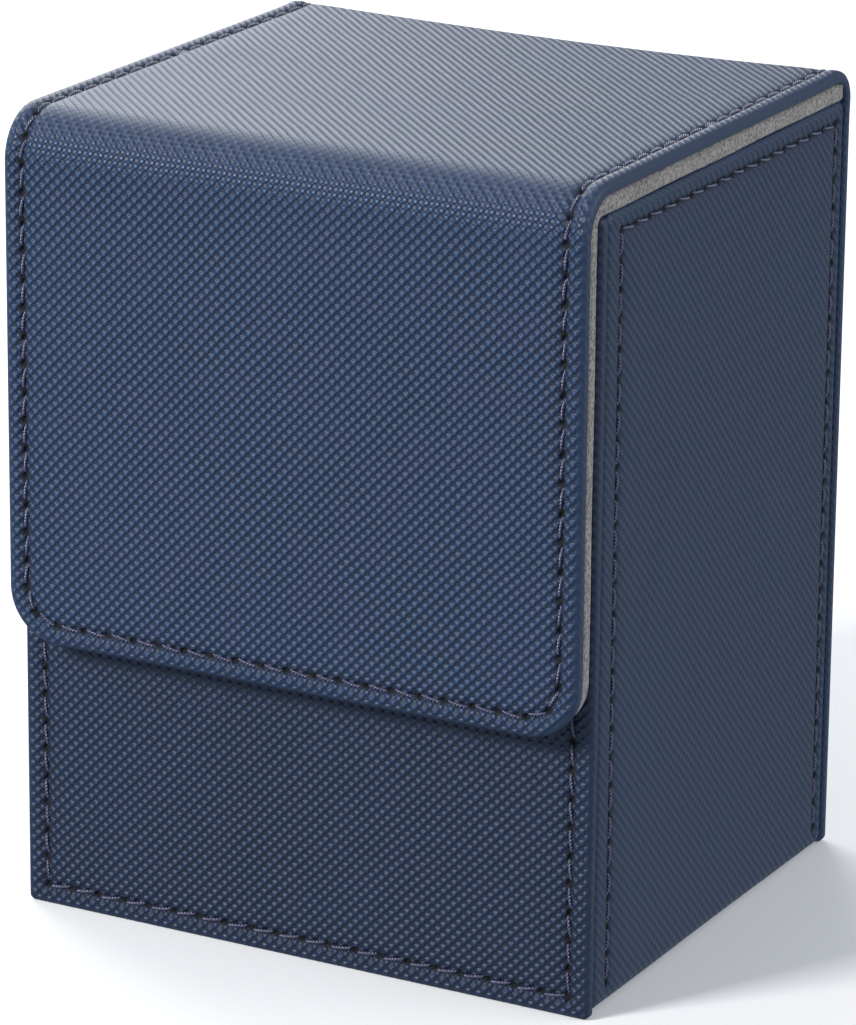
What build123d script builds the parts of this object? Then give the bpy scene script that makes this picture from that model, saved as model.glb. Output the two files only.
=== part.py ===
from build123d import *
import math
import os

# Card deck box. Millimetres, +Z up, front towards -Y.
# The origin is the centre of the footprint, flap included, on the surface the box stands on.

# Driving dimensions: the whole box
front_width = 80.0  # front panel, the widest piece
cover_width = 79.6  # one-piece cover: back, lid and flap
gusset_width = 79.4  # across the outer faces of the two side panels
overall_depth = 74.0  # outer face of the flap to outer face of the back
overall_height = 104.4
flap_end = 36.6  # height of the flap's free edge
closing_gap = 0.2  # air between the closed cover and the box under it

# Driving dimensions: the walls, from the outside in
cover_shell = 1.6  # leather and board of the cover
cover_padding = 2.2  # grey microfibre on the cover's inner face
front_shell = 1.4  # leather and board of the front panel
front_inner = 2.0  # lined board behind it, between the side panels
skin = 0.6  # leather over a board of the cover or the front panel
gusset_skin = 0.7  # leather of the side panels and the bottom
gusset_board = 1.4
gusset_lining = 0.8
turned_edge = 0.8  # leather round the edge of a board
padding_inset = 0.4  # padding's edge behind the leather's edge

# Driving dimensions: folds, corners and gaps
back_fold = 4.5  # outer radius of the cover's fold over the back
front_fold = 6.5  # outer radius of the cover's fold over the front
inner_fold = 1.0  # radius of the padding inside the front fold
flap_corner = 7.0  # radius of the flap's free corners
gusset_fold = 1.75  # outer radius where a side panel turns under the box
gusset_return = 3.0  # width of that turn, seen from below
edge_radius = 0.5  # rounded outer edges of the leather
front_groove = 0.6  # between the front panel's edge and a side panel
back_groove = 0.3  # between the back's edge and a side panel
board_clearance = 0.5  # from a board's end to the start of a fold
hinge_gap = 0.2  # between two bodies, at the middle of a fold

# Driving dimensions: seams and magnets
seam_inset = 2.6  # from a seam to the leather's edge
side_seam_front = 5.9  # from the front panel's face to a side panel's front seam
side_seam_back = 4.1  # from the back's face to a side panel's rear seam
stitch_pitch = 3.64
stitch_length = 2.5
thread_width = 0.5
channel_width = 0.9
channel_depth = 0.3
magnet_diameter = 10.0
magnet_spacing = 40.0
magnet_height = 46.0

# Depths along Y, front to back
back_y = overall_depth / 2
flap_y = -overall_depth / 2
front_y = flap_y + cover_shell + cover_padding + closing_gap
front_board_y = front_y + front_shell
front_inner_y = front_board_y + front_inner
back_board_y = back_y - cover_shell
back_inner_y = back_board_y - cover_padding
side_front_y = front_board_y + front_groove
side_back_y = back_board_y - back_groove

# Distances from the middle along X
front_x = front_width / 2
cover_x = cover_width / 2
padding_x = cover_x - padding_inset
side_x = gusset_width / 2
side_board_x = side_x - gusset_skin
side_lining_x = side_board_x - gusset_board
side_inner_x = side_lining_x - gusset_lining
bottom_x = side_x - gusset_return
seam_x = cover_x - seam_inset

# Heights
lid_under = overall_height - cover_shell - cover_padding
box_top = lid_under - closing_gap
floor_lining_z = gusset_skin + gusset_board
floor_top = floor_lining_z + gusset_lining

# Outer faces, each with its own x to the right as seen from outside, and y up or to the back
flap_face = Plane(origin=(0, flap_y, 0), x_dir=(1, 0, 0), z_dir=(0, -1, 0))
front_face = Plane(origin=(0, front_y, 0), x_dir=(1, 0, 0), z_dir=(0, -1, 0))
side_face = Plane(origin=(side_x, 0, 0), x_dir=(0, 1, 0), z_dir=(1, 0, 0))
back_face = Plane(origin=(0, back_y, 0), x_dir=(-1, 0, 0), z_dir=(0, 1, 0))
lid_face = Plane(origin=(0, 0, overall_height))

# The cover is divided at the middle of each fold, square to the leather. Normals point to the lid.
back_division = Plane(origin=(0, back_y, overall_height), x_dir=(1, 0, 0), z_dir=(0, -1, 1))
front_division = Plane(origin=(0, flap_y, overall_height), x_dir=(1, 0, 0), z_dir=(0, 1, 1))


def save(piece, name):
    """Label a finished piece and write its STEP file."""
    piece.part.label = name
    export_step(piece.part, f"parts/{name}.step")


def slab(low, high):
    """A rectangular block between its lowest and its highest corner."""
    size = [b - a for a, b in zip(low, high)]
    middle = [(a + b) / 2 for a, b in zip(low, high)]
    with BuildPart() as block:
        with BuildSketch(Plane(origin=(middle[0], middle[1], low[2]))):
            Rectangle(size[0], size[1])
        extrude(amount=size[2])
    return block


def bent_sheet(outer, outer_radii, inner, inner_radii, section, length):
    """A folded sheet: the band between two bent lines on a section plane, extruded to both sides."""
    with BuildPart() as sheet:
        with BuildSketch(section):
            with BuildLine():
                outside = FilletPolyline(*outer, radius=outer_radii)
                inside = FilletPolyline(*inner, radius=inner_radii)
                Line(outside @ 0, inside @ 0)
                Line(outside @ 1, inside @ 1)
            make_face()
        extrude(amount=length / 2, both=True)
    return sheet


def cover_line(depth, foot, free_edge):
    """Corners of the cover's section at a depth below its outer face, from the back to the flap."""
    return [
        (back_y - depth, foot),
        (back_y - depth, overall_height - depth),
        (flap_y + depth, overall_height - depth),
        (flap_y + depth, free_edge),
    ]


def flap_corners(sheet, free_edge):
    """The two short edges across the sheet at the flap's free corners."""
    across = sheet.edges().filter_by(Axis.Y)
    return across.filter_by(lambda edge: edge.center().Y < 0 and abs(edge.center().Z - free_edge) < 0.01)


def depth_in_cover(point):
    """Depth of a point below the cover's outer face."""
    past_front = flap_y + front_fold - point.Y
    above_front = point.Z - overall_height + front_fold
    if past_front > 0 and above_front > 0:
        return front_fold - math.hypot(past_front, above_front)
    past_back = point.Y - back_y + back_fold
    above_back = point.Z - overall_height + back_fold
    if past_back > 0 and above_back > 0:
        return back_fold - math.hypot(past_back, above_back)
    return min(back_y - point.Y, point.Y - flap_y, overall_height - point.Z)


def is_rim(edge):
    """Whether an edge runs round the cover's outer face, at its sides, its foot or its free edge."""
    middle = edge.center()
    at_end = min(abs(middle.Z), abs(middle.Z - flap_end)) < 0.01
    at_side = abs(middle.X) > cover_x - flap_corner / 2
    return depth_in_cover(middle) < 0.01 and (at_end or at_side)


def seam_line(points, corner):
    """A seam's path on an outer face, in that face's own coordinates."""
    with BuildLine() as path:
        if corner:
            FilletPolyline(*points, radius=corner)
        else:
            Polyline(*points)
    return path.wires()[0]


def channel(face, seams):
    """The shallow channel pressed into the leather along each seam."""
    with BuildPart() as pressed:
        with BuildSketch(face.offset(-channel_depth)):
            for seam in seams:
                trace(seam.edges(), line_width=channel_width)
        extrude(amount=2 * channel_depth)
    return pressed


def stitches(face, seams):
    """The separate visible stitches along each seam, lying in its channel."""
    with BuildPart() as thread:
        with BuildSketch(face.offset(-channel_depth)):
            for seam in seams:
                count = round(seam.length / stitch_pitch)
                for i in range(count):
                    along = (i + 0.5) / count * seam.length
                    run = seam.tangent_at(along, PositionMode.LENGTH)
                    heading = math.degrees(math.atan2(run.Y, run.X))
                    with Locations(seam.position_at(along, PositionMode.LENGTH)):
                        SlotOverall(stitch_length, thread_width, rotation=heading)
        extrude(amount=channel_depth)
    return thread


def magnets(face, depth, thickness):
    """The two closing magnets, behind an outer face."""
    with BuildPart() as pair:
        with BuildSketch(face.offset(-depth)):
            with Locations((-magnet_spacing / 2, magnet_height), (magnet_spacing / 2, magnet_height)):
                Circle(magnet_diameter / 2)
        extrude(amount=-thickness)
    return pair


def cut_from(piece, *tools):
    """A piece with the shapes of others cut out of it."""
    with BuildPart() as cut:
        add(piece.part)
        for tool in tools:
            add(tool.part, mode=Mode.SUBTRACT)
    return cut


def lid_side(layer, division):
    """The part of a layer on the lid's side of a division."""
    with BuildPart() as kept:
        add(layer.part)
        split(bisect_by=division.offset(hinge_gap / 2), keep=Keep.TOP)
    return kept


def far_side(layer, division, keep_front):
    """The part of a layer beyond a division, on the back or on the flap."""
    with BuildPart() as kept:
        add(layer.part)
        split(bisect_by=division.offset(-hinge_gap / 2), keep=Keep.BOTTOM)
        split(bisect_by=Plane.XZ, keep=Keep.TOP if keep_front else Keep.BOTTOM)
    return kept


os.makedirs("parts", exist_ok=True)

# Seams, on the flat stretches of each face
top_seam = box_top - seam_inset
front_seams = [
    seam_line([(-seam_x, top_seam), (-seam_x, seam_inset)], 0),
    seam_line([(-seam_x, seam_inset), (seam_x, seam_inset)], 0),
    seam_line([(seam_x, seam_inset), (seam_x, top_seam)], 0),
    seam_line([(-seam_x, top_seam), (seam_x, top_seam)], 0),
]
side_low = gusset_fold
side_seams = [
    seam_line([(front_y + side_seam_front, side_low), (front_y + side_seam_front, top_seam)], 0),
    seam_line([(front_y + side_seam_front, top_seam), (back_y - side_seam_back, top_seam)], 0),
    seam_line([(back_y - side_seam_back, side_low), (back_y - side_seam_back, top_seam)], 0),
]
back_fold_z = overall_height - back_fold
back_seams = [
    seam_line([(-seam_x, back_fold_z), (-seam_x, seam_inset)], 0),
    seam_line([(-seam_x, seam_inset), (seam_x, seam_inset)], 0),
    seam_line([(seam_x, seam_inset), (seam_x, back_fold_z)], 0),
]
lid_front_y = flap_y + front_fold
lid_back_y = back_y - back_fold
lid_seams = [
    seam_line([(-seam_x, lid_front_y), (-seam_x, lid_back_y)], 0),
    seam_line([(seam_x, lid_front_y), (seam_x, lid_back_y)], 0),
]
front_fold_z = overall_height - front_fold
flap_seam_points = [
    (-seam_x, front_fold_z),
    (-seam_x, flap_end + seam_inset),
    (seam_x, flap_end + seam_inset),
    (seam_x, front_fold_z),
]
flap_seams = [seam_line(flap_seam_points, flap_corner - seam_inset)]

# Front panel: leather turned round a thin board, on a lined board between the side panels
front_magnets = magnets(front_face, skin, front_shell - skin)
front_board_block = slab(
    (turned_edge - front_x, front_y + skin, turned_edge),
    (front_x - turned_edge, front_board_y, box_top - turned_edge),
)
front_board = cut_from(front_board_block, front_magnets)
with BuildPart() as front_leather:
    with BuildSketch(front_face):
        with Locations((0, box_top / 2)):
            Rectangle(front_width, box_top)
    extrude(amount=-front_shell)
    fillet(front_leather.faces().sort_by(Axis.Y)[0].edges(), radius=edge_radius)
    add(front_board_block.part, mode=Mode.SUBTRACT)
    add(channel(front_face, front_seams).part, mode=Mode.SUBTRACT)
front_lining = slab(
    (-side_inner_x, front_board_y, floor_lining_z),
    (side_inner_x, front_inner_y, box_top),
)
save(front_leather, "front_leather")
save(front_board, "front_board")
save(front_lining, "front_lining")
save(front_magnets, "front_magnets")
save(stitches(front_face, front_seams), "front_stitches")

# Side panels: leather over the top edge, down the face and under the box, with a board and a lining
gusset_section = Plane(
    origin=(0, (side_front_y + side_back_y) / 2, 0), x_dir=(1, 0, 0), z_dir=(0, -1, 0)
)
side_leather_sheet = bent_sheet(
    [(side_inner_x, box_top), (side_x, box_top), (side_x, 0), (bottom_x, 0)],
    (edge_radius, gusset_fold),
    [
        (side_inner_x, box_top - gusset_skin),
        (side_board_x, box_top - gusset_skin),
        (side_board_x, gusset_skin),
        (bottom_x, gusset_skin),
    ],
    (0, gusset_fold - gusset_skin),
    gusset_section,
    side_back_y - side_front_y,
)
side_leather = cut_from(side_leather_sheet, channel(side_face, side_seams))
side_board = slab(
    (side_lining_x, front_board_y, floor_lining_z),
    (side_board_x, back_board_y, box_top - gusset_skin),
)
side_lining = slab(
    (side_inner_x, front_board_y, floor_lining_z),
    (side_lining_x, back_board_y, box_top - gusset_skin),
)
side_pieces = {
    "leather": side_leather,
    "board": side_board,
    "lining": side_lining,
    "stitches": stitches(side_face, side_seams),
}
for piece_name, right_piece in side_pieces.items():
    save(right_piece, f"right_{piece_name}")
    with BuildPart() as left_piece:
        mirror(right_piece.part, about=Plane.YZ)
    save(left_piece, f"left_{piece_name}")

# Bottom
bottom_leather = slab((-bottom_x, side_front_y, 0), (bottom_x, side_back_y, gusset_skin))
bottom_board = slab(
    (-bottom_x, front_board_y, gusset_skin), (bottom_x, back_board_y, floor_lining_z)
)
bottom_lining = slab(
    (-side_inner_x, front_inner_y, floor_lining_z), (side_inner_x, back_inner_y, floor_top)
)
save(bottom_leather, "bottom_leather")
save(bottom_board, "bottom_board")
save(bottom_lining, "bottom_lining")

# Cover, whole: a leather-covered shell in three panels.
# One padded lining runs from the back's foot to the flap.
shell_whole = bent_sheet(
    cover_line(0, 0, flap_end),
    (back_fold, front_fold),
    cover_line(cover_shell, 0, flap_end),
    (back_fold - cover_shell, front_fold - cover_shell),
    Plane.YZ,
    cover_width,
)
with BuildPart() as shell:
    add(shell_whole.part)
    fillet(flap_corners(shell, flap_end), radius=flap_corner)
    fillet(shell.edges().filter_by(is_rim), radius=edge_radius)
padding_free_edge = flap_end + padding_inset
padding_whole = bent_sheet(
    cover_line(cover_shell, floor_lining_z, padding_free_edge),
    (back_fold - cover_shell, front_fold - cover_shell),
    cover_line(cover_shell + cover_padding, floor_lining_z, padding_free_edge),
    (0, inner_fold),
    Plane.YZ,
    2 * padding_x,
)
with BuildPart() as padding:
    add(padding_whole.part)
    fillet(flap_corners(padding, padding_free_edge), radius=flap_corner - padding_inset)

# Back
back_board = slab(
    (turned_edge - cover_x, back_board_y, turned_edge),
    (cover_x - turned_edge, back_y - skin, back_fold_z - board_clearance),
)
back_shell = far_side(shell, back_division, False)
back_leather = cut_from(back_shell, back_board, channel(back_face, back_seams))
side_room = slab((side_inner_x, back_inner_y, floor_lining_z), (cover_x, back_board_y, box_top))
with BuildPart() as back_lining:
    add(far_side(padding, back_division, False).part)
    add(side_room.part, mode=Mode.SUBTRACT)
    mirror(side_room.part, about=Plane.YZ, mode=Mode.SUBTRACT)
save(back_leather, "back_leather")
save(back_board, "back_board")
save(back_lining, "back_lining")
save(stitches(back_face, back_seams), "back_stitches")

# Lid
lid_board = slab(
    (turned_edge - cover_x, lid_front_y + board_clearance, overall_height - cover_shell),
    (cover_x - turned_edge, lid_back_y - board_clearance, overall_height - skin),
)
lid_shell = lid_side(lid_side(shell, back_division), front_division)
lid_leather = cut_from(lid_shell, lid_board, channel(lid_face, lid_seams))
lid_lining = lid_side(lid_side(padding, back_division), front_division)
save(lid_leather, "lid_leather")
save(lid_board, "lid_board")
save(lid_lining, "lid_lining")
save(stitches(lid_face, lid_seams), "lid_stitches")

# Flap
flap_magnets = magnets(flap_face, skin, cover_shell - skin)
board_low = flap_end + turned_edge
board_high = front_fold_z - board_clearance
with BuildPart() as flap_board_blank:
    with BuildSketch(flap_face.offset(-skin)) as outline:
        with Locations((0, (board_low + board_high) / 2)):
            Rectangle(2 * (cover_x - turned_edge), board_high - board_low)
        fillet(outline.vertices().group_by(Axis.Z)[0], radius=flap_corner - turned_edge)
    extrude(amount=skin - cover_shell)
flap_board = cut_from(flap_board_blank, flap_magnets)
flap_shell = far_side(shell, front_division, True)
flap_leather = cut_from(flap_shell, flap_board_blank, channel(flap_face, flap_seams))
flap_lining = far_side(padding, front_division, True)
save(flap_leather, "flap_leather")
save(flap_board, "flap_board")
save(flap_lining, "flap_lining")
save(flap_magnets, "flap_magnets")
save(stitches(flap_face, flap_seams), "flap_stitches")
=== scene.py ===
import math

import bpy
import numpy as np
from mathutils import Matrix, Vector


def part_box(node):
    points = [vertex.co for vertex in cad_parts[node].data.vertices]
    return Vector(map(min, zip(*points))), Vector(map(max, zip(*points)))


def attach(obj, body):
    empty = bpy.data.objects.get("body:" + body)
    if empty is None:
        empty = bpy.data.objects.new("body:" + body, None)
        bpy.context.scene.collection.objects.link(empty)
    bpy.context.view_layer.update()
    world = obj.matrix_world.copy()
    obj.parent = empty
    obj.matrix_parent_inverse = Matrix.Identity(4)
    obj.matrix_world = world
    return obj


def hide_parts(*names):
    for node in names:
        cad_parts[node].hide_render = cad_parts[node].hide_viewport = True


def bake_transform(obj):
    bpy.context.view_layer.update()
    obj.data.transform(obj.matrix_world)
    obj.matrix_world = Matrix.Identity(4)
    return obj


# The card deck box's looks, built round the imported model. Lengths in this file are millimetres,
# turned into Blender's metres where a mesh, a light or the camera is made.

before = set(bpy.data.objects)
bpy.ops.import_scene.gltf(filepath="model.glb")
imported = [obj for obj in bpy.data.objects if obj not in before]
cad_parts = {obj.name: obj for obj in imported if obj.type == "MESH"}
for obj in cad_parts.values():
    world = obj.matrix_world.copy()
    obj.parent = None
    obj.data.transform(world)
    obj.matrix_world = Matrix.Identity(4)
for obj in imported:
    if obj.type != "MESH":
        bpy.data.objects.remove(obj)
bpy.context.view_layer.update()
MM = 0.001


def box_of(node):
    """A CAD node's lowest and highest corner at rest, in millimetres."""
    low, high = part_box(node)
    return np.array(low) / MM, np.array(high) / MM


# ---------------------------------------------------------------- sizes

_, back_high = box_of("back_leather")
_, lid_high = box_of("lid_leather")
flap_low, _ = box_of("flap_leather")
front_low, front_high = box_of("front_leather")
side_low, side_high = box_of("right_leather")
padding_low, padding_high = box_of("lid_lining")
board_low, _ = box_of("lid_board")
flap_padding_low, _ = box_of("flap_lining")

BACK_Y = back_high[1]
FLAP_Y = flap_low[1]
TOP = lid_high[2]
FLAP_END = flap_low[2]
COVER_X = back_high[0]
SHELL = TOP - board_low[2]  # leather and board of the cover
PADDING = board_low[2] - padding_low[2]
PADDING_X = padding_high[0]
BOX_TOP = front_high[2]

# Folds and corners, as in the CAD model
BACK_FOLD = 4.5
FRONT_FOLD = 6.5
FLAP_CORNER = 7.0
GUSSET_FOLD = 1.75
INNER_FOLD = 1.0
CREASE = 0.3  # from a fold's 45-degree plane to the rows of points beside it, which span it once open
LINING_CREASE = 0.06

# Seams
SEAM = 2.6  # from a rim
SIDE_SEAM_FRONT = 5.9  # from the front panel's face
SIDE_SEAM_BACK = 4.1  # from the back's face
PITCH = 3.64
THREAD = 0.24  # radius of the whole thread
SLANT = 0.2  # how far a stitch's ends lie off the seam, to either side
CHANNEL = 0.2  # depth of the pressed line along a seam
CHANNEL_REACH = 0.62
PUCKER = 0.06  # depth of the shallow dip to both sides of a seam
PUCKER_REACH = 1.5
PIT = 0.31  # a hole's depth under the channel, short of the board
PIT_LENGTH = 0.66  # half the length of a needle hole
PIT_WIDTH = 0.4
CHANNEL_SHADE = 0.4  # how much painted shade darkens a seam's channel beside its holes
HOLE_GAP = 0.42  # from a hole's middle to where the thread dives into it
STITCH_HEIGHT = 0.45
STITCH_SINK = 0.58  # how far a stitch's ends lie under the face
PLY_TURN = 1.15  # thread length in which the two plies go once round each other

# The grain: raised pips in rows at 45 degrees
GRAIN_PITCH = 1.02
UV_UNIT = 100.0  # millimetres that one unit of the grain's UV map stands for
EVEN_ROWS = 0.52  # share of one family of rows where both stand out alike
LID_ROWS_SHIFT = 0.34  # how much smaller that share is on the lid
LID_CALM = 0.72

# Going in from a rim: where the pressing of the seams comes in, and where the smooth bead ends
PRESS_START, PRESS_FADE = -0.2, 1.2
BEAD_START, BEAD_FADE = 0.2, 0.8

# Spacing of the meshes' grid lines
COVER_STEP = 1.6
GUSSET_STEP = 1.8
CORNER_STEP = 0.5
NAP_STEP = 0.8
LEAST_GAP = 0.07


# ---------------------------------------------------------------- surfaces to build on


class BentStrip:
    """A strip that runs straight, bends a quarter turn, runs on, bends again and runs on.

    A point on it is given by how far it is across, how far along, and how deep under the face.
    """

    def __init__(self, origin, run, turn, across, lengths, radii, face=1.0):
        vectors = (origin, run, turn, across)
        self.origin, self.run, self.turn, self.across = (np.array(v, float) for v in vectors)
        self.radii = radii
        self.face = face
        first, middle, last = lengths
        self.stops = np.cumsum([0, first, radii[0] * math.pi / 2, middle, radii[1] * math.pi / 2, last])
        self.end = self.stops[-1]
        self.bends = ((self.stops[1] + self.stops[2]) / 2, (self.stops[3] + self.stops[4]) / 2)
        self.slouch = None
        self.waist = None

    def place(self, across, along, depth):
        _, first, second, third, fourth, _ = self.stops
        r1, r2 = self.radii
        a1 = np.clip((along - first) / r1, 0, math.pi / 2)
        a2 = np.clip((along - third) / r2, 0, math.pi / 2)
        middle = np.clip(along - second, 0, third - second)
        up = np.minimum(along, first) + r1 * np.sin(a1)
        up = up - r2 * (1 - np.cos(a2)) - np.maximum(along - fourth, 0)
        over = r1 * (1 - np.cos(a1)) + middle + r2 * np.sin(a2)
        heading = a1 + a2
        deep = depth * self.face
        if self.waist:
            across = across * self.waist(along)
        if self.slouch:
            deep = deep + self.slouch(across, along)
        up = up - deep * np.sin(heading)
        over = over + deep * np.cos(heading)
        return (
            self.origin
            + across[..., None] * self.across
            + up[..., None] * self.run
            + over[..., None] * self.turn
        )


class FlatPanel:
    """A flat face with its own two directions; depth runs against its normal."""

    def __init__(self, origin, across, along):
        self.origin, self.across, self.along = (np.array(v, float) for v in (origin, across, along))
        self.normal = np.cross(self.across, self.along)

    def place(self, across, along, depth):
        return (
            self.origin
            + across[..., None] * self.across
            + along[..., None] * self.along
            - depth[..., None] * self.normal
        )


class Rim:
    """How a sheet's edge is turned: it rounds over, runs down its side and ends in a lip."""

    ROUND_STEPS = 7

    def __init__(self, round_in, round_down, depth, lip, tuck=0.1, tuck_height=0.1):
        turn = np.linspace(0, math.pi / 2, self.ROUND_STEPS)
        low = depth - tuck_height
        inset = [*(round_in * (1 - np.sin(turn))), 0.0, 0.0, tuck, lip]
        down = [*(round_down * (1 - np.cos(turn))), (round_down + low) / 2, low, depth, depth]
        self.inset = np.array(inset)
        self.down = np.array(down)
        self.round_in = round_in


class Outline:
    """A rounded rectangle in a face's own coordinates, with turned rims on chosen sides."""

    def __init__(self, across, along, corner, side_rim, end_rim, low_end=True, high_end=True):
        self.across, self.along, self.corner = across, along, corner
        self.side_rim, self.end_rim = side_rim, end_rim
        self.low_end, self.high_end = low_end, high_end
        # Each rim line has a place beyond the flat face, so that one number runs over face and rim.
        steps = np.hypot(np.diff(side_rim.inset), np.diff(side_rim.down))
        self.marks = side_rim.round_in - np.concatenate([[0], np.cumsum(steps)])

    def turned(self, rim, gap):
        """Inset and depth of a point whose place from the edge, over face and rim, is gap."""
        marks = self.marks[::-1]
        inset = np.where(gap >= marks[-1], gap, np.interp(gap, marks, rim.inset[::-1]))
        down = np.interp(gap, marks, rim.down[::-1])
        return inset, down

    def shape(self, across, along):
        """Plan position, depth, gap to the nearest rim and unrolled position of grid lines' crossings."""
        (x0, x1), (y0, y1) = self.across, self.along
        side = np.where(across < (x0 + x1) / 2, -1.0, 1.0)
        gap_x = np.where(side < 0, across - x0, x1 - across)
        to_low = along - y0 if self.low_end else np.full_like(along, 1e6)
        to_high = y1 - along if self.high_end else np.full_like(along, 1e6)
        end = np.where(to_low < to_high, -1.0, 1.0)
        gap_y = np.minimum(to_low, to_high)

        inset_x, down_x = self.turned(self.side_rim, gap_x)
        inset_y, down_y = self.turned(self.end_rim, gap_y)
        plan_x = np.where(side < 0, x0 + inset_x, x1 - inset_x)
        plan_y = np.where(gap_y > 1e5, along, np.where(end < 0, y0 + inset_y, y1 - inset_y))
        down = np.where(gap_x < gap_y, down_x, down_y)
        flat_x, flat_y = across.copy(), along.copy()

        # In a corner the lines bend into arcs about the corner's centre.
        r = self.corner
        a = 1 - gap_x / r
        b = 1 - gap_y / r
        corner = (a > 0) & (b > 0)
        big = np.maximum(np.maximum(a, b), 1e-9)
        small = np.minimum(a, b)
        angle = np.where(a >= b, small / big, 2 - small / big) * math.pi / 4
        gap = r * (1 - big)
        share = np.cos(angle) ** 2
        ix, dx = self.turned(self.side_rim, gap)
        iy, dy = self.turned(self.end_rim, gap)
        radius = r - (share * ix + (1 - share) * iy)
        centre_x = np.where(side < 0, x0 + r, x1 - r)
        centre_y = np.where(end < 0, y0 + r, y1 - r)
        plan_x = np.where(corner, centre_x + side * radius * np.cos(angle), plan_x)
        plan_y = np.where(corner, centre_y + end * radius * np.sin(angle), plan_y)
        down = np.where(corner, share * dx + (1 - share) * dy, down)
        flat_x = np.where(corner, centre_x + side * (r - gap) * np.cos(angle), flat_x)
        flat_y = np.where(corner, centre_y + end * (r - gap) * np.sin(angle), flat_y)
        return plan_x, plan_y, down, np.minimum(gap_x, gap_y), flat_x, flat_y


def spread(low, high, step, marks=(), offsets=(0.0,)):
    """Sorted grid lines from low to high: one every step or so, and some at offsets from each mark."""
    even = np.linspace(low, high, max(2, int(math.ceil((high - low) / step)) + 1))
    close = [m + o for m in marks for o in offsets if low < m + o < high]
    fine = np.array(sorted(close))
    if len(fine):
        keep = np.abs(even[:, None] - fine[None, :]).min(axis=1) > step * 0.3
        keep[[0, -1]] = True
        even = even[keep]
    lines = np.sort(np.concatenate([even, fine]))
    return lines[np.concatenate([[True], np.diff(lines) > 0.04])]


def thin_out(lines):
    """Sorted lines without any pair closer than LEAST_GAP."""
    lines = np.unique(np.round(lines, 3))
    kept = [lines[0]]
    for line in lines[1:]:
        if line - kept[-1] >= LEAST_GAP:
            kept.append(line)
    return np.array(kept)


# Offsets of extra lines: to both sides of a seam, and round a needle hole along it
ACROSS_SEAM = (-1.3, -0.85, -0.55, -0.36, -0.2, 0.0, 0.2, 0.36, 0.55, 0.85, 1.3)
ALONG_SEAM = (-0.72, -0.5, -0.3, 0.0, 0.3, 0.5, 0.72)


def beside(seams):
    """Lines close together over each seam."""
    return [seam + offset for seam in seams for offset in ACROSS_SEAM]


def sheet_lines(low, high, marks, seams, step, needle_holes):
    """Lines from rim to rim of a stitched sheet, close together at its rims, seams and needle holes."""
    inner = spread(low + marks[0], high - marks[0], step, needle_holes, ALONG_SEAM)
    return thin_out(np.concatenate([low + marks, high - marks, beside(seams), inner]))


# ---------------------------------------------------------------- seams


def holes(start, end, pitch=PITCH):
    """Needle holes along a straight seam, both ends included."""
    start, end = np.array(start, float), np.array(end, float)
    count = max(1, round(float(np.linalg.norm(end - start)) / pitch))
    return start + (end - start) * (np.arange(count + 1) / count)[:, None]


def arc_holes(centre, radius, start, end):
    """Needle holes round a corner, angles in degrees, without the first, which the run before it has."""
    count = max(1, round(abs(math.radians(end - start)) * radius / PITCH))
    turn = np.radians(start + (end - start) * np.arange(1, count + 1) / count)
    return np.array(centre) + radius * np.stack([np.cos(turn), np.sin(turn)], axis=1)


def seam_field(seams, x, y):
    """Distance to the nearest seam, and a value that is 1 in a needle hole and 0 away from it."""
    nearest = np.full(x.shape, 1e3)
    pit = np.zeros(x.shape)
    for seam in seams:
        for a, b in zip(seam[:-1], seam[1:]):
            run = b - a
            length = float(np.linalg.norm(run))
            run = run / length
            px, py = x - a[0], y - a[1]
            along = np.clip(px * run[0] + py * run[1], 0, length)
            distance = np.hypot(px - along * run[0], py - along * run[1])
            nearest = np.minimum(nearest, distance)
            for hole in (a, b):
                hx, hy = x - hole[0], y - hole[1]
                lengthways = (hx * run[0] + hy * run[1]) / PIT_LENGTH
                sideways = (hx * run[1] - hy * run[0]) / PIT_WIDTH
                pit = np.maximum(pit, np.exp(-((lengthways**2 + sideways**2) ** 2)))
    return nearest, pit


# ---------------------------------------------------------------- meshes


def make_object(name, points, faces, smooth=True):
    """A mesh object from points in millimetres."""
    mesh = bpy.data.meshes.new(name)
    mesh.from_pydata((np.asarray(points) * MM).tolist(), [], faces)
    mesh.update()
    if smooth:
        mesh.polygons.foreach_set("use_smooth", np.ones(len(mesh.polygons), bool))
    made = bpy.data.objects.new(name, mesh)
    bpy.context.scene.collection.objects.link(made)
    return made


def grid_faces(columns, rows, flip):
    """Quads of a grid whose points are numbered row by row."""
    corner = (np.arange(rows - 1)[:, None] * columns + np.arange(columns - 1)[None, :]).ravel()
    quads = np.stack([corner, corner + 1, corner + columns + 1, corner + columns], axis=1)
    return (quads[:, ::-1] if flip else quads).tolist()


def set_float(mesh, name, values):
    attribute = mesh.attributes.new(name, "FLOAT", "POINT")
    attribute.data.foreach_set("value", np.asarray(values, np.float32).ravel())


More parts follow.
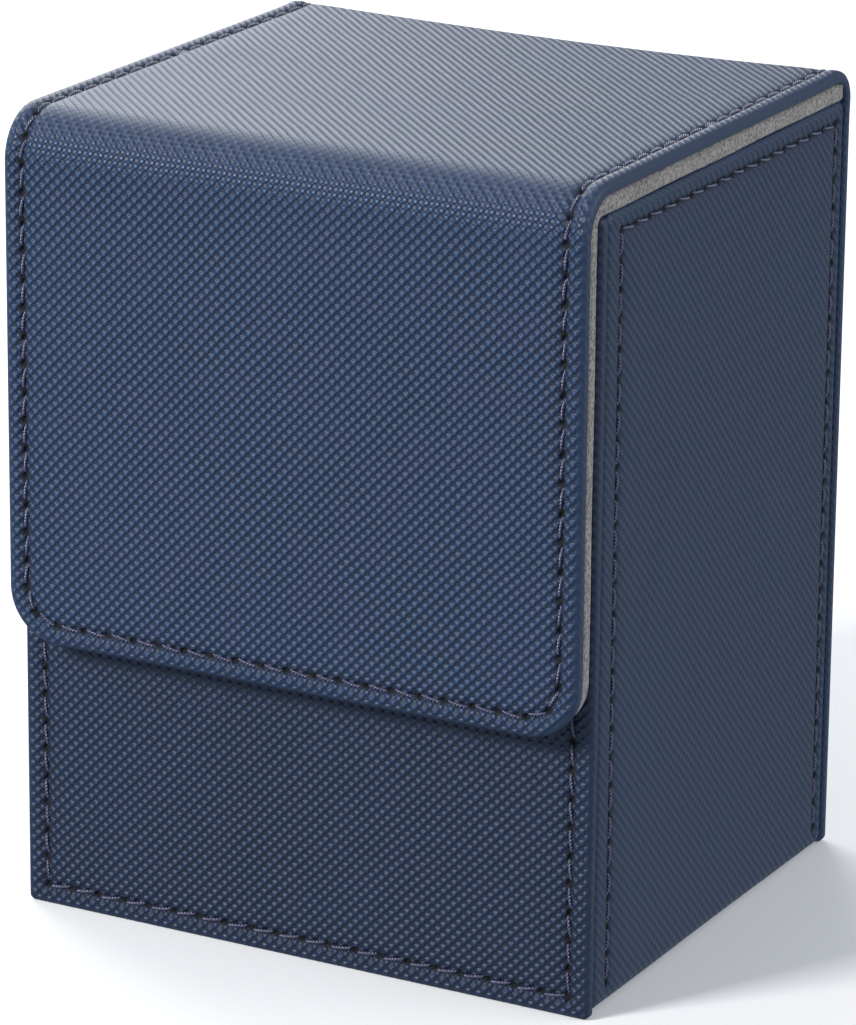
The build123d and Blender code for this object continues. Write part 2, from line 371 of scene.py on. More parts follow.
def skin(name, surface, outline, lines, seams, relief, uv_sign, flip, shade=0.0, rows=EVEN_ROWS, calm=0.0):
    """A leather or lining sheet: a grid over its outline, pressed in along its seams and turned at its rims.

    shade darkens the leather's colour as painted shade, on pieces that less light reaches; rows is the share
    of one family of the grain's rows, and calm flattens the grain; the last two can change along the sheet.
    """
    across, along = np.meshgrid(*lines)
    plan_x, plan_y, down, gap, flat_x, flat_y = outline.shape(across, along)
    distance, pit = seam_field(seams, plan_x, plan_y)
    channel = np.exp(-((distance / CHANNEL_REACH) ** 2))
    pucker = np.exp(-((distance / PUCKER_REACH) ** 2))
    on_face = np.clip((gap - PRESS_START) / PRESS_FADE, 0, 1)
    pressed = (CHANNEL * channel + PIT * pit) * on_face + PUCKER * pucker
    depth = down + pressed + relief(plan_x, plan_y, gap)
    points = surface.place(plan_x, plan_y, depth).reshape(-1, 3)
    made = make_object(name, points, grid_faces(across.shape[1], across.shape[0], flip))
    mesh = made.data
    # Painted shade: marks the seams' channels and needle holes to be coloured dark, for the shade that falls
    # into them.
    set_float(mesh, "seam_shade", np.clip(CHANNEL_SHADE * channel + pit, 0, 1) * on_face)
    set_float(mesh, "rim", 1 - np.clip((gap - BEAD_START) / BEAD_FADE, 0, 1))
    # Painted shade: how much the piece's leather colour is darkened.
    set_float(mesh, "shade", np.full(gap.shape, shade))
    set_float(mesh, "calm", np.broadcast_to(calm(plan_y) if callable(calm) else calm, gap.shape))
    set_float(mesh, "rows", np.broadcast_to(rows(plan_y) if callable(rows) else rows, gap.shape))
    uv = np.stack([flat_x.ravel(), uv_sign * flat_y.ravel()], axis=1) / UV_UNIT
    corner_points = np.empty(len(mesh.loops), np.int32)
    mesh.loops.foreach_get("vertex_index", corner_points)
    layer = mesh.uv_layers.new(name="grain")
    layer.data.foreach_set("uv", uv[corner_points].astype(np.float32).ravel())
    return made


def thread(name, surface, seams, seed):
    """The visible stitches: two plies twisted together, dipping into the needle holes at both ends."""
    random = np.random.default_rng(seed)
    steps, sides = 15, 6  # of each ply: rings along it, and corners of a ring
    t = np.linspace(0, 1, steps)
    ring = np.arange(sides) / sides * 2 * math.pi
    points, faces = [], []
    for seam in seams:
        for a, b in zip(seam[:-1], seam[1:]):
            run = b - a
            length = float(np.linalg.norm(run))
            run = run / length
            cross = np.array([-run[1], run[0]])
            slant = SLANT * random.uniform(0.75, 1.2)
            wander = random.normal(0, 0.03)
            bow = random.normal(0, 0.03)
            lift = random.uniform(0.9, 1.12)
            height = lift * (STITCH_HEIGHT * np.sin(math.pi * t) ** 0.4) - STITCH_SINK
            sideways = slant * (2 * t - 1) + wander + bow * np.sin(math.pi * t)
            middle = a + np.outer(t * (length - 2 * HOLE_GAP) + HOLE_GAP, run) + np.outer(sideways, cross)
            turns = length / PLY_TURN
            for ply in (0, math.pi):
                phase = 2 * math.pi * turns * t + ply + random.uniform(0, 0.4)
                taper = 0.75 + 0.25 * np.sin(math.pi * t) ** 0.5
                off = THREAD * 0.5 * taper
                centre = middle + np.outer(off * np.cos(phase), cross)
                lie = height + off * np.sin(phase)
                radius = THREAD * 0.56 * taper
                x = centre[:, 0:1] + cross[0] * radius[:, None] * np.cos(ring)
                y = centre[:, 1:2] + cross[1] * radius[:, None] * np.cos(ring)
                z = lie[:, None] + radius[:, None] * np.sin(ring)
                first = len(points) * steps * sides
                points.append(surface.place(x, y, -z).reshape(-1, 3))
                for i in range(steps - 1):
                    for j in range(sides):
                        k = (j + 1) % sides
                        low, high = first + i * sides, first + (i + 1) * sides
                        faces.append((low + j, low + k, high + k, high + j))
                faces.append(tuple(first + j for j in reversed(range(sides))))
                faces.append(tuple(first + (steps - 1) * sides + j for j in range(sides)))
    return make_object(name, np.concatenate(points), faces)


# ---------------------------------------------------------------- materials


class Nodes:
    """A short way to write a material's node tree."""

    def __init__(self, name):
        self.material = bpy.data.materials.new(name)
        self.material.use_nodes = True
        self.tree = self.material.node_tree
        self.shader = self.tree.nodes["Principled BSDF"]

    def add(self, kind, **settings):
        node = self.tree.nodes.new(kind)
        for key, value in settings.items():
            setattr(node, key, value)
        return node

    def link(self, source, target):
        self.tree.links.new(source, target)

    def put(self, socket, value):
        if isinstance(value, bpy.types.NodeSocket):
            self.link(value, socket)
        else:
            socket.default_value = value

    def math(self, operation, a, b=0.0, c=0.0):
        node = self.add("ShaderNodeMath", operation=operation)
        for socket, value in zip(node.inputs, (a, b, c)):
            self.put(socket, value)
        return node.outputs[0]

    def noise(self, vector, scale, detail=3.0, rough=0.5):
        node = self.add("ShaderNodeTexNoise")
        self.link(vector, node.inputs["Vector"])
        node.inputs["Scale"].default_value = scale
        node.inputs["Detail"].default_value = detail
        node.inputs["Roughness"].default_value = rough
        return node.outputs["Fac"]

    def mix(self, share, a, b, blend="MIX"):
        node = self.add("ShaderNodeMix", data_type="RGBA", blend_type=blend)
        self.put(node.inputs["Factor"], share)
        self.put(node.inputs["A"], a)
        self.put(node.inputs["B"], b)
        return node.outputs["Result"]

    def range(self, value, low, high, to_low=0.0, to_high=1.0):
        node = self.add("ShaderNodeMapRange", interpolation_type="SMOOTHSTEP")
        for key, given in (("Value", value), ("From Min", low), ("From Max", high)):
            self.put(node.inputs[key], given)
        node.inputs["To Min"].default_value = to_low
        node.inputs["To Max"].default_value = to_high
        return node.outputs["Result"]

    def attribute(self, name):
        return self.add("ShaderNodeAttribute", attribute_name=name).outputs["Fac"]

    def bump(self, height, distance, strength=1.0, normal=None):
        node = self.add("ShaderNodeBump")
        node.inputs["Strength"].default_value = strength
        self.put(node.inputs["Distance"], distance)
        self.link(height, node.inputs["Height"])
        if normal:
            self.link(normal, node.inputs["Normal"])
        return node.outputs["Normal"]


def rgb(red, green, blue):
    return (red, green, blue, 1.0)


def leather_material():
    """Navy imitation leather, embossed with rows of small pips."""
    n = Nodes("navy_leather")
    uv = n.add("ShaderNodeUVMap", uv_map="grain").outputs["UV"]
    place = n.add("ShaderNodeTexCoord").outputs["Object"]
    drift = n.add("ShaderNodeTexNoise")
    n.link(place, drift.inputs["Vector"])
    drift.inputs["Scale"].default_value = 120.0
    drift.inputs["Detail"].default_value = 1.0
    parts = n.add("ShaderNodeSeparateXYZ")
    n.link(uv, parts.inputs[0])
    shift = n.add("ShaderNodeSeparateColor")
    n.link(drift.outputs["Color"], shift.inputs[0])
    per_row = UV_UNIT / GRAIN_PITCH / math.sqrt(2) * 2 * math.pi
    wander = 0.0035  # of the rows, in UV units
    calm_height, rim_smoothing, rim_tone = 0.3, 0.8, 0.36
    x = n.math("MULTIPLY_ADD", shift.outputs[0], wander, parts.outputs[0])
    y = n.math("MULTIPLY_ADD", shift.outputs[1], wander, parts.outputs[1])
    across_rows = n.math("COSINE", n.math("MULTIPLY", n.math("SUBTRACT", x, y), per_row))
    along_rows = n.math("COSINE", n.math("MULTIPLY", n.math("ADD", x, y), per_row))
    rows = n.math("MULTIPLY", n.attribute("rows"), 0.5)
    other = n.math("SUBTRACT", 0.5, rows)
    both = n.math("MULTIPLY_ADD", across_rows, rows, n.math("MULTIPLY_ADD", along_rows, other, 0.5))
    sharp = n.math("SUBTRACT", n.range(both, 0.12, 1.0), calm_height)
    pip = n.math("MULTIPLY_ADD", sharp, n.math("SUBTRACT", 1.0, n.attribute("calm")), calm_height)
    pebble = n.noise(place, 2600.0, 2.0, 0.6)
    seam_shade = n.attribute("seam_shade")
    rim = n.attribute("rim")
    flatten = n.math("SUBTRACT", 1.0, n.math("MULTIPLY", rim, rim_smoothing))
    height = n.math("MULTIPLY_ADD", pebble, 0.1, n.math("MULTIPLY", pip, flatten))
    n.link(n.bump(height, 0.0003), n.shader.inputs["Normal"])

    patch = n.noise(place, 45.0, 3.0)
    # Painted shade: the grain's grooves are coloured far darker than its crests, for the shade that lies
    # deep between the pips.
    shaded_groove, crest = rgb(0.0035, 0.014, 0.04), rgb(0.026, 0.062, 0.148)
    tone = n.mix(n.math("MULTIPLY_ADD", rim, rim_tone, n.math("MULTIPLY", pip, flatten)), shaded_groove, crest)
    patchy = n.mix(n.range(patch, 0.3, 0.7, 0.0, 0.25), tone, rgb(0.02, 0.044, 0.112))
    hue = n.noise(place, 210.0, 2.0)
    warmed = n.mix(n.range(hue, 0.42, 0.68, 0.0, 0.18), patchy, rgb(0.031, 0.042, 0.108))
    # Painted shade: the colour is multiplied darker and bluer by the piece's shade.
    shaded = n.mix(n.attribute("shade"), warmed, rgb(0.6, 0.63, 0.7), "MULTIPLY")
    # Painted shade: the seams' channels and needle holes are coloured nearly black.
    n.link(n.mix(seam_shade, shaded, rgb(0.0012, 0.0015, 0.003)), n.shader.inputs["Base Color"])
    shine = n.math("MULTIPLY_ADD", pip, -0.08, 0.5)
    rough = n.math("MULTIPLY_ADD", seam_shade, 0.4, n.math("MULTIPLY_ADD", patch, 0.06, shine))
    n.link(rough, n.shader.inputs["Roughness"])
    n.shader.inputs["Specular IOR Level"].default_value = 0.52
    return n.material


def microfibre_material():
    """Grey brushed microfibre, with a short nap that lies this way and that."""
    n = Nodes("grey_microfibre")
    place = n.add("ShaderNodeTexCoord").outputs["Object"]
    nap = n.noise(place, 260.0, 4.0, 0.6)
    fibre = n.noise(place, 3800.0, 3.0, 0.7)
    fleck = n.noise(place, 2000.0, 2.0, 0.5)
    tone = n.mix(n.range(nap, 0.3, 0.7), rgb(0.28, 0.255, 0.24), rgb(0.4, 0.366, 0.346))
    flecked = n.mix(n.range(fleck, 0.46, 0.62, 0.0, 0.8), tone, rgb(0.1, 0.092, 0.092))
    brushed = n.mix(n.range(fibre, 0.45, 0.75, 0.0, 0.45), flecked, rgb(0.55, 0.53, 0.52))
    speck = n.noise(place, 2100.0, 2.0, 0.6)
    # Dark specks near the rims.
    rim_specks = n.math("MULTIPLY", n.range(speck, 0.5, 0.66), n.attribute("rim"))
    speckled = n.mix(n.math("MULTIPLY", rim_specks, 0.6), brushed, rgb(0.04, 0.038, 0.042))
    n.link(speckled, n.shader.inputs["Base Color"])
    coarse = n.bump(nap, 0.00025, 0.5)
    n.link(n.bump(fibre, 0.00012, 0.9, coarse), n.shader.inputs["Normal"])
    n.shader.inputs["Roughness"].default_value = 0.95
    n.shader.inputs["Specular IOR Level"].default_value = 0.15
    n.shader.inputs["Sheen Weight"].default_value = 0.35
    n.shader.inputs["Sheen Roughness"].default_value = 0.6
    n.shader.inputs["Sheen Tint"].default_value = rgb(0.95, 0.93, 0.92)
    return n.material


def thread_material():
    """Twisted polyester thread with a silky surface."""
    n = Nodes("lilac_thread")
    place = n.add("ShaderNodeTexCoord").outputs["Object"]
    strand = n.noise(place, 2400.0, 2.0, 0.6)
    n.link(n.mix(strand, rgb(0.035, 0.035, 0.085), rgb(0.11, 0.11, 0.2)), n.shader.inputs["Base Color"])
    n.link(n.bump(strand, 0.00004), n.shader.inputs["Normal"])
    n.shader.inputs["Roughness"].default_value = 0.32
    n.shader.inputs["Specular IOR Level"].default_value = 1.0
    return n.material


def board_material():
    """Raw grey board, sealed inside."""
    n = Nodes("grey_board")
    place = n.add("ShaderNodeTexCoord").outputs["Object"]
    pulp = n.noise(place, 900.0, 4.0, 0.6)
    n.link(n.mix(pulp, rgb(0.22, 0.21, 0.19), rgb(0.36, 0.34, 0.31)), n.shader.inputs["Base Color"])
    n.shader.inputs["Roughness"].default_value = 0.9
    return n.material


def magnet_material():
    """Nickel-plated magnets, sealed inside."""
    n = Nodes("magnet_steel")
    place = n.add("ShaderNodeTexCoord").outputs["Object"]
    scuff = n.noise(place, 700.0, 3.0)
    n.shader.inputs["Base Color"].default_value = rgb(0.6, 0.6, 0.62)
    n.shader.inputs["Metallic"].default_value = 1.0
    n.link(n.range(scuff, 0.3, 0.7, 0.25, 0.4), n.shader.inputs["Roughness"])
    return n.material


def floor_material():
    """A pale floor, lit a little from within so that it stays near white."""
    n = Nodes("pale_floor")
    n.shader.inputs["Base Color"].default_value = rgb(0.85, 0.85, 0.85)
    n.shader.inputs["Roughness"].default_value = 0.8
    n.shader.inputs["Emission Color"].default_value = rgb(1.0, 1.0, 1.0)
    n.shader.inputs["Emission Strength"].default_value = 0.12
    return n.material


# The materials that several pieces share
LEATHER = leather_material()
MICROFIBRE = microfibre_material()
THREAD_MATERIAL = thread_material()


def dress(piece, material):
    piece.data.materials.clear()
    piece.data.materials.append(material)


def dress_node(node, material):
    """A CAD node that keeps its shape, with a better material."""
    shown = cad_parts[node]
    for slot in shown.material_slots:
        slot.material = material


# ---------------------------------------------------------------- the cover

cover = BentStrip(
    origin=(0, BACK_Y, 0),
    run=(0, 0, 1),
    turn=(0, -1, 0),
    across=(1, 0, 0),
    lengths=(TOP - BACK_FOLD, BACK_Y - BACK_FOLD - FLAP_Y - FRONT_FOLD, TOP - FRONT_FOLD - FLAP_END),
    radii=(BACK_FOLD, FRONT_FOLD),
)
LID_MIDDLE = (cover.stops[2] + cover.stops[3]) / 2
BACK_BEND, FRONT_BEND = cover.bends


def cover_slouch(across, along):
    """The folds are tight at their ends and a little looser in the middle, where nothing pulls them."""
    back_reach, back_slack, back_pull = 3.4, 1.05, 0.35
    front_reach, front_slack = 4.5, 0.2
    middle = 1 - np.clip(np.abs(across) / COVER_X, 0, 1) ** 2
    back = np.exp(-(((along - BACK_BEND) / back_reach) ** 2))
    front = np.exp(-(((along - FRONT_BEND) / front_reach) ** 2))
    return (back_slack * middle - back_pull) * back + front_slack * middle * front


cover.slouch = cover_slouch


def on_lid(along):
    """1 on the lid, 0 on the back and the flap."""
    return np.clip((along - BACK_BEND) / 4 + 0.5, 0, 1) * np.clip((FRONT_BEND - along) / 5 + 0.5, 0, 1)


def cover_rows(along):
    """The grain's other rows are the stronger ones on the lid."""
    return EVEN_ROWS - LID_ROWS_SHIFT * on_lid(along)


def cover_calm(along):
    """The grain is pressed flatter on the lid."""
    return LID_CALM * on_lid(along)


cover_rim = Rim(round_in=0.75, round_down=0.65, depth=SHELL, lip=2.8, tuck=0.4, tuck_height=0.25)
seam_x = COVER_X - SEAM
corner_start = cover.end - FLAP_CORNER
side_holes = holes((0, SEAM), (0, corner_start))[:, 1]


def at_x(x, along):
    return np.stack([np.full(len(along), x), along], axis=1)


meeting = side_holes[np.argmin(np.abs(side_holes - LID_MIDDLE))]
back_side = side_holes[side_holes <= meeting + 1e-6]
flap_side = side_holes[side_holes >= meeting - 1e-6]
foot_row = holes((-seam_x, SEAM), (seam_x, SEAM))
back_seams = [at_x(-seam_x, back_side), at_x(seam_x, back_side), foot_row]
corner_radius = FLAP_CORNER - SEAM
corner_x = COVER_X - FLAP_CORNER
free_row = holes((-corner_x, cover.end - SEAM), (corner_x, cover.end - SEAM))
flap_seams = [
    np.concatenate([
        at_x(-seam_x, flap_side),
        arc_holes((-corner_x, corner_start), corner_radius, 180, 90),
        free_row[1:],
        arc_holes((corner_x, corner_start), corner_radius, 90, 0),
        at_x(seam_x, flap_side)[::-1][1:],
    ])
]


def cover_relief(across, along, gap):
    """The turned edge stands a little proud of the stitched face, and the board is never quite flat."""
    proud = -0.1 * np.exp(-(((gap - 1.35) / 0.75) ** 2))
    uneven = 0.05 * np.sin(across * 0.09 + 0.6) * np.sin(along * 0.07)
    return proud + uneven * np.clip(gap / 6, 0, 1)


back_outline = Outline((-COVER_X, COVER_X), (0, LID_MIDDLE), 1.0, cover_rim, cover_rim, high_end=False)
flap_outline = Outline(
    (-COVER_X, COVER_X), (LID_MIDDLE, cover.end), FLAP_CORNER, cover_rim, cover_rim, low_end=False
)
rim_marks = back_outline.marks
fold_rows = np.concatenate([
    np.linspace(cover.stops[1], cover.stops[2], 15),
    np.linspace(cover.stops[3], cover.stops[4], 19),
])


def clear_crease(rows, bend, half):
    """Rows with none inside a fold's crease, and one on each side of it."""
    rows = rows[np.abs(rows - bend) > half + LEAST_GAP]
    return np.sort(np.concatenate([rows, [bend - half, bend + half]]))


corner_lines = np.arange(CORNER_STEP, FLAP_CORNER + CORNER_STEP, CORNER_STEP)
back_rows = np.concatenate([
    rim_marks,
    beside([SEAM]),
    spread(rim_marks[0], LID_MIDDLE, COVER_STEP, back_side, ALONG_SEAM),
    fold_rows[fold_rows < LID_MIDDLE],
])
flap_rows = np.concatenate([
    cover.end - rim_marks,
    beside([cover.end - SEAM]),
    cover.end - corner_lines,
    spread(LID_MIDDLE, cover.end - rim_marks[0], COVER_STEP, flap_side, ALONG_SEAM),
    fold_rows[fold_rows > LID_MIDDLE],
])
side_seams = (-seam_x, seam_x)
back_x = sheet_lines(-COVER_X, COVER_X, rim_marks, side_seams, COVER_STEP, foot_row[:, 0])
flap_x = sheet_lines(-COVER_X, COVER_X, rim_marks, side_seams, COVER_STEP, free_row[:, 0])
flap_x = thin_out(np.concatenate([flap_x, -COVER_X + corner_lines, COVER_X - corner_lines]))
back_t = thin_out(back_rows)
back_t = back_t[back_t <= LID_MIDDLE + 1e-6]
back_t[-1] = LID_MIDDLE
flap_t = thin_out(flap_rows)
flap_t = flap_t[flap_t >= LID_MIDDLE - 1e-6]
flap_t[0] = LID_MIDDLE


back_t = clear_crease(back_t, BACK_BEND, CREASE)
flap_t = clear_crease(flap_t, FRONT_BEND, CREASE)

cover_grain = {"rows": cover_rows, "calm": cover_calm}
cover_back = skin(
    "cover_back", cover, back_outline, (back_x, back_t), back_seams, cover_relief, -1, True, **cover_grain
)
dress(cover_back, LEATHER)
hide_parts("back_leather", "lid_leather")
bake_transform(cover_back)

cover_flap = skin(
    "cover_flap", cover, flap_outline, (flap_x, flap_t), flap_seams, cover_relief, -1, True, **cover_grain
)
dress(cover_flap, LEATHER)
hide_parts("flap_leather")
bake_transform(cover_flap)

back_thread = thread("cover_back_thread", cover, back_seams, 11)
dress(back_thread, THREAD_MATERIAL)
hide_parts("back_stitches", "lid_stitches")
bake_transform(back_thread)

flap_thread = thread("cover_flap_thread", cover, flap_seams, 12)
dress(flap_thread, THREAD_MATERIAL)
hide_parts("flap_stitches")
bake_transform(flap_thread)

# ---------------------------------------------------------------- the cover's padded lining

padding_depth = SHELL + PADDING
_, bottom_high = box_of("bottom_lining")
_, cavity_high = box_of("front_lining")
PADDING_FOOT = bottom_high[2] - 0.3
NAP_X = PADDING_X + 0.15  # the cut edge's fibres stand out a little
BACK_LINING_X = cavity_high[0] - 0.15  # between the side panels
padding_line = BentStrip(
    origin=(0, BACK_Y - padding_depth, PADDING_FOOT),
    run=(0, 0, 1),
    turn=(0, -1, 0),
    across=(1, 0, 0),
    lengths=(
        TOP - padding_depth - INNER_FOLD - PADDING_FOOT,
        BACK_Y - FLAP_Y - 2 * padding_depth - 2 * INNER_FOLD,
        TOP - padding_depth - INNER_FOLD - flap_padding_low[2],
    ),
    radii=(INNER_FOLD, INNER_FOLD),
    face=-1.0,
)
PADDING_MIDDLE = (padding_line.stops[2] + padding_line.stops[3]) / 2
padding_rim = Rim(round_in=0.75, round_down=0.65, depth=PADDING + 0.05, lip=1.6, tuck=1.1, tuck_height=0.3)
ear_rim = Rim(round_in=0.75, round_down=0.65, depth=PADDING + 0.05, lip=0.7, tuck=0.6, tuck_height=0.3)
LEDGE = 0.8  # how far past the fold the lining has reached its full width


def padding_waist(along):
    """Narrow between the side panels, and as wide as the lid beyond the fold."""
    share = np.clip((along - padding_line.stops[2]) / LEDGE, 0, 1)
    return (BACK_LINING_X + (NAP_X - BACK_LINING_X) * share) / NAP_X


padding_line.waist = padding_waist


def nap_relief(across, along, gap):
    """The nap stands uneven, most of all along the cut edge."""
    wave = np.sin(across * 2.1 + 1.3 * np.sin(along * 0.9)) * np.sin(along * 2.3 + across * 0.7)
    swell = np.sin(across * 0.31 + 2) * np.sin(along * 0.23)
    return 0.03 * wave + 0.05 * swell


def even_lines(outline, across, along, step):
    """Grid lines for an unstitched sheet: its rims, and even lines between them."""
    marks = outline.marks
    x = np.concatenate([
        across[0] + marks, across[1] - marks, np.arange(across[0] + 1, across[1] - 1, step)
    ])
    ends = [np.arange(along[0] + (outline.low_end and 1), along[1] - (outline.high_end and 1), step)]
    if outline.low_end:
        ends.append(along[0] + marks)
    if outline.high_end:
        ends.append(along[1] - marks)
    return thin_out(x), thin_out(np.concatenate(ends))


def with_folds(rows, line, low, high):
    """Rows with extra ones over a strip's two folds."""
    folds = [np.linspace(line.stops[k] - 1, line.stops[k + 1] + 1, 15) for k in (1, 3)]
    rows = thin_out(np.concatenate([rows, *folds]))
    between = rows[(rows > low + LEAST_GAP) & (rows < high - LEAST_GAP)]
    rows = np.concatenate([[low], between, [high]])
    for bend in line.bends:
        if low < bend < high:
            rows = clear_crease(rows, bend, LINING_CREASE)
    return rows


padding_span = (0, PADDING_MIDDLE)
padding_back_outline = Outline(
    (-NAP_X, NAP_X), padding_span, 1.8, padding_rim, padding_rim, high_end=False
)
back_columns, back_rows_even = even_lines(padding_back_outline, (-NAP_X, NAP_X), padding_span, NAP_STEP)
padding_back = skin(
    "padding_back",
    padding_line,
    padding_back_outline,
    (back_columns, with_folds(back_rows_even, padding_line, back_rows_even[0], PADDING_MIDDLE)),
    [],
    nap_relief,
    -1,
    False,
)
flap_span = (PADDING_MIDDLE, padding_line.end)
padding_flap_outline = Outline(
    (-NAP_X, NAP_X), flap_span, FLAP_CORNER + NAP_X - COVER_X, padding_rim, padding_rim, low_end=False
)
flap_columns, flap_rows_even = even_lines(padding_flap_outline, (-NAP_X, NAP_X), flap_span, NAP_STEP)
padding_flap = skin(
    "padding_flap",
    padding_line,
    padding_flap_outline,
    (flap_columns, with_folds(flap_rows_even, padding_line, PADDING_MIDDLE, flap_rows_even[-1])),
    [],
    nap_relief,
    -1,
    False,
)


def lining_ear(side):
    """The lid's lining over the end of a side panel, behind the fold."""
    underside = FlatPanel((0, 0, TOP - padding_depth), (1, 0, 0), (0, -1, 0))
    across = tuple(sorted((side * (BACK_LINING_X - 0.3), side * NAP_X)))
    along = (SHELL + 0.1 - BACK_Y, padding_depth + INNER_FOLD + LEDGE - BACK_Y)
    outline = Outline(across, along, 0.8, ear_rim, ear_rim)
    lines = even_lines(outline, across, along, CORNER_STEP)
    return skin("lining_ear", underside, outline, lines, [], nap_relief, 1, False)


def join(pieces):
    """The first piece, with the others made part of it."""
    with bpy.context.temp_override(active_object=pieces[0], selected_editable_objects=pieces):
        bpy.ops.object.join()
    return pieces[0]


padding_back = join([padding_back, lining_ear(-1), lining_ear(1)])
for piece in (padding_back, padding_flap):
    dress(piece, MICROFIBRE)
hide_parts("back_lining", "lid_lining")
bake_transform(padding_back)
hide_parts("flap_lining")
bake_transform(padding_flap)

# ---------------------------------------------------------------- front panel

FRONT_X = front_high[0]
front_face = FlatPanel((0, front_low[1], 0), (1, 0, 0), (0, 0, 1))
front_rim = Rim(round_in=0.6, round_down=0.5, depth=front_high[1] - front_low[1], lip=1.2)
front_outline = Outline((-FRONT_X, FRONT_X), (0, BOX_TOP), 0.8, front_rim, front_rim)
front_corners = [(-seam_x, BOX_TOP - SEAM), (-seam_x, SEAM), (seam_x, SEAM), (seam_x, BOX_TOP - SEAM)]
front_seams = [
    np.concatenate([
        holes(front_corners[0], front_corners[1]),
        holes(front_corners[1], front_corners[2])[1:],
        holes(front_corners[2], front_corners[3])[1:],
        holes(front_corners[3], front_corners[0])[1:],
    ])
]
front_marks = front_outline.marks
row_holes = holes(front_corners[1], front_corners[2])[:, 0]
column_holes = holes(front_corners[0], front_corners[1])[:, 1]
front_lines_x = sheet_lines(-FRONT_X, FRONT_X, front_marks, side_seams, COVER_STEP, row_holes)
front_lines_z = sheet_lines(0, BOX_TOP, front_marks, (SEAM, BOX_TOP - SEAM), COVER_STEP, column_holes)


def panel_relief(across, along, gap):
    """As on the cover, the turned edge stands proud and the face is not quite flat."""
    proud = -0.06 * np.exp(-(((gap - 1.2) / 0.7) ** 2))
    uneven = 0.04 * np.sin(across * 0.11 + 1) * np.sin(along * 0.08 + 0.4)
    return proud + uneven * np.clip(gap / 6, 0, 1)


front_lines = (front_lines_x, front_lines_z)
# Painted shade: the front panel's leather is coloured darker and bluer, for the less light that reaches it
# under the flap.
front_skin = skin(
    "front_skin", front_face, front_outline, front_lines, front_seams, panel_relief, 1, False, shade=1.0
)
dress(front_skin, LEATHER)
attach(front_skin, "box")
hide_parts("front_leather")
front_thread = thread("front_thread", front_face, front_seams, 13)
dress(front_thread, THREAD_MATERIAL)
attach(front_thread, "box")
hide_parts("front_stitches")

# ---------------------------------------------------------------- side panels and bottom, one strip

SIDE_X = side_high[0]
SIDE_Y = (side_low[1], side_high[1])
gusset = BentStrip(
    origin=(SIDE_X, 0, BOX_TOP),
    run=(0, 0, -1),
    turn=(-1, 0, 0),
    across=(0, 1, 0),
    lengths=(BOX_TOP - GUSSET_FOLD, 2 * (SIDE_X - GUSSET_FOLD), BOX_TOP - GUSSET_FOLD),
    radii=(GUSSET_FOLD, GUSSET_FOLD),
)
gusset_side_rim = Rim(round_in=0.8, round_down=0.6, depth=1.5, lip=-0.65, tuck=-0.1)
gusset_top_rim = Rim(round_in=0.8, round_down=0.6, depth=2.9, lip=0.6)
gusset_outline = Outline(SIDE_Y, (0, gusset.end), 1.1, gusset_side_rim, gusset_top_rim)
seam_front_y = front_low[1] + SIDE_SEAM_FRONT
seam_back_y = BACK_Y - SIDE_SEAM_BACK
seam_foot = gusset.stops[1] - 1.2
upright_holes = holes((0, SEAM), (0, seam_foot))[:, 1]
top_holes = holes((seam_front_y, SEAM), (seam_back_y, SEAM))
right_seam = np.concatenate([
    at_x(seam_front_y, upright_holes)[::-1],
    top_holes[1:],
    at_x(seam_back_y, upright_holes)[1:],
])
left_seam = right_seam.copy()
left_seam[:, 1] = gusset.end - left_seam[:, 1]
gusset_marks = gusset_outline.marks
gusset_seams_y = (seam_front_y, seam_back_y)
gusset_y = sheet_lines(*SIDE_Y, gusset_marks, gusset_seams_y, GUSSET_STEP, top_holes[:, 0])
upright_lines = np.concatenate([
    gusset_marks,
    beside([SEAM]),
    spread(gusset_marks[0], gusset.stops[1], GUSSET_STEP, upright_holes, ALONG_SEAM),
    np.linspace(gusset.stops[1], gusset.stops[2], 8),
])
gusset_t = thin_out(np.concatenate([
    upright_lines,
    np.linspace(gusset.stops[2], gusset.stops[3], 22),
    gusset.end - upright_lines,
]))
gusset_seams = [right_seam, left_seam]
# A little painted shade darkens the side panels' leather colour.
gusset_grain = {"shade": 0.1, "rows": 0.75, "calm": 0.5}
gusset_lines = (gusset_y, gusset_t)
gusset_skin = skin(
    "gusset_skin", gusset, gusset_outline, gusset_lines, gusset_seams, panel_relief, 1, True, **gusset_grain
)
dress(gusset_skin, LEATHER)
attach(gusset_skin, "box")
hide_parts("left_leather", "right_leather", "bottom_leather")
gusset_thread = thread("gusset_thread", gusset, gusset_seams, 14)
dress(gusset_thread, THREAD_MATERIAL)
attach(gusset_thread, "box")
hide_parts("left_stitches", "right_stitches")

# ---------------------------------------------------------------- linings inside the box

INNER_PANELS = {
    # node: across, along, and the axis and end of the node's box that its visible face lies on
    "front_lining": ((-1, 0, 0), (0, 0, 1), 1, 1),
    "left_lining": ((0, 1, 0), (0, 0, 1), 0, 1),
    "right_lining": ((0, -1, 0), (0, 0, 1), 0, 0),
    "bottom_lining": ((1, 0, 0), (0, 1, 0), 2, 1),
}


def flat_nap(across, along, gap):
    """Glued to a board, the nap is nearly level."""
    return 0.04 + 0.03 * np.sin(across * 0.7 + 1) * np.sin(along * 0.6)


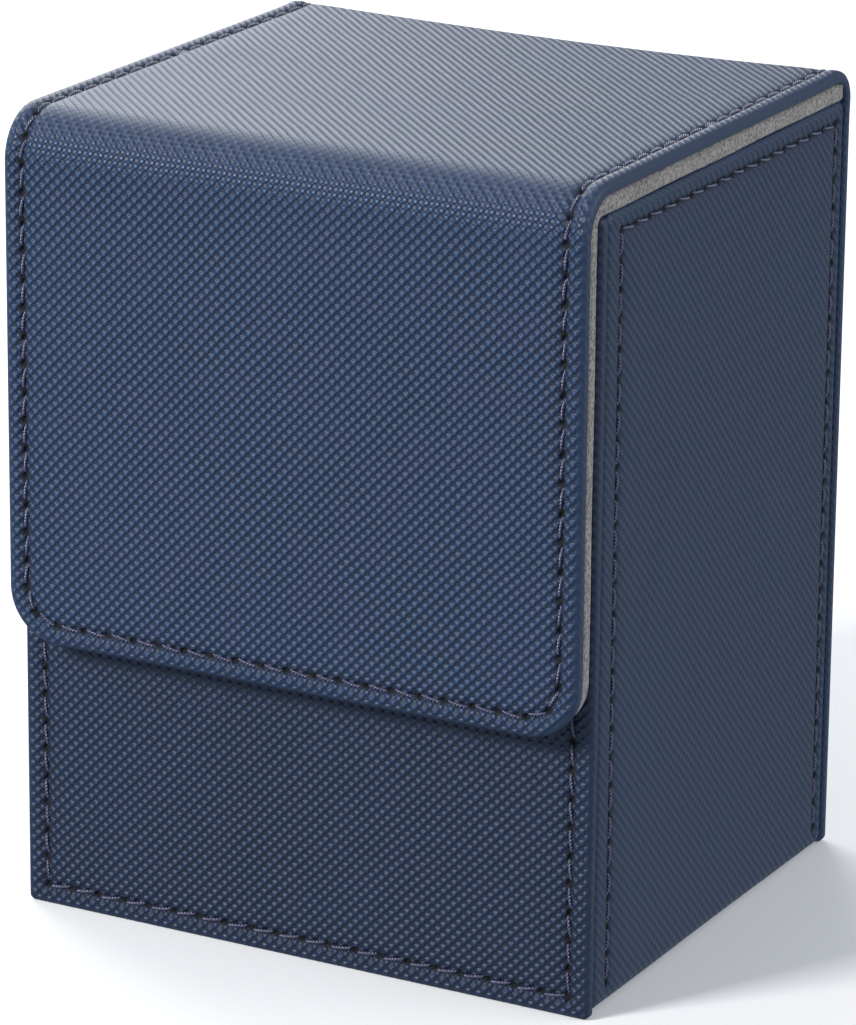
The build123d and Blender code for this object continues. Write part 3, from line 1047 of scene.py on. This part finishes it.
def inner_lining(node):
    """A board's lining: a flat pad of microfibre with soft edges, as large as its CAD node."""
    across, along, axis, end = INNER_PANELS[node]
    corners = box_of(node)
    origin = np.zeros(3)
    origin[axis] = corners[end][axis]
    spans = [tuple(sorted(float(np.dot(c, way)) for c in corners)) for way in (across, along)]
    thickness = corners[1][axis] - corners[0][axis]
    rim = Rim(round_in=0.5, round_down=0.4, depth=thickness, lip=0.8)
    outline = Outline(spans[0], spans[1], 0.7, rim, rim)
    lines = even_lines(outline, spans[0], spans[1], 1.2)
    panel = skin(f"{node}_pad", FlatPanel(origin, across, along), outline, lines, [], flat_nap, 1, False)
    dress(panel, MICROFIBRE)
    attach(panel, "box")
    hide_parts(node)


for inner_node in INNER_PANELS:
    inner_lining(inner_node)

# ---------------------------------------------------------------- CAD pieces that keep their shape

BOARD = board_material()
for panel in ("front", "left", "right", "bottom", "back", "lid", "flap"):
    dress_node(f"{panel}_board", BOARD)
MAGNET = magnet_material()
for node in ("front_magnets", "flap_magnets"):
    dress_node(node, MAGNET)

# ---------------------------------------------------------------- floor, light and camera


def make_floor():
    """A wide floor that neither lights the box nor shows in its gloss, as in a photo that is cut out."""
    reach = 3000.0
    corners = [(-reach, -reach, 0), (reach, -reach, 0), (reach, reach, 0), (-reach, reach, 0)]
    floor = make_object("floor", corners, [(0, 1, 2, 3)], smooth=False)
    floor.data.materials.append(floor_material())
    floor.visible_diffuse = False
    floor.visible_glossy = False


def make_light(name, place, target, size, watts):
    """A soft rectangular lamp, placed and aimed in millimetres."""
    data = bpy.data.lights.new(name, "AREA")
    data.shape = "RECTANGLE"
    data.size, data.size_y = (s * MM for s in size)
    data.energy = watts
    lamp = bpy.data.objects.new(name, data)
    bpy.context.scene.collection.objects.link(lamp)
    way = np.array(target, float) - np.array(place, float)
    lamp.matrix_world = aimed(place, way)


def aimed(place, way, roll=0.0):
    """Where a lamp or camera stands, looking along a direction."""
    back = -np.array(way, float) / np.linalg.norm(way)
    right = np.cross((0, 0, 1), back)
    right = right / np.linalg.norm(right)
    up = np.cross(back, right)
    c, s = math.cos(math.radians(roll)), math.sin(math.radians(roll))
    right, up = right * c + up * s, up * c - right * s
    matrix = Matrix.Identity(4)
    for i, column in enumerate((right, up, back, np.array(place, float) * MM)):
        for row in range(3):
            matrix[row][i] = float(column[row])
    return matrix


def make_camera():
    """The camera where the photo was taken from, fitted to the box's straight edges."""
    place, roll = (315.37, -584.93, 263.55), 0.573
    azimuth, elevation = math.radians(28.366), math.radians(17.879)
    way = (
        -math.sin(azimuth) * math.cos(elevation),
        math.cos(azimuth) * math.cos(elevation),
        -math.sin(elevation),
    )
    data = bpy.data.cameras.new("camera")
    data.sensor_width = 36.0
    data.lens = 193.45
    data.clip_start, data.clip_end = 0.05, 20.0
    camera = bpy.data.objects.new("camera", data)
    bpy.context.scene.collection.objects.link(camera)
    camera.matrix_world = aimed(place, way, roll)
    bpy.context.scene.camera = camera


def make_world():
    """A dim, even room round the lamps."""
    world = bpy.data.worlds.new("studio")
    world.use_nodes = True
    background = world.node_tree.nodes["Background"]
    background.inputs["Color"].default_value = rgb(0.82, 0.91, 1.0)
    background.inputs["Strength"].default_value = 0.45
    bpy.context.scene.world = world


make_floor()
make_camera()
make_world()
bpy.context.scene.view_settings.view_transform = "Standard"
make_light("key", place=(-290, -500, 400), target=(0, 0, 60), size=(160, 160), watts=4.4)
make_light("rear", place=(-732, 643, 610), target=(0, 0, 100), size=(770, 1000), watts=9.6)
make_light("fill", place=(900, 250, 500), target=(0, 0, 60), size=(700, 700), watts=3.8)
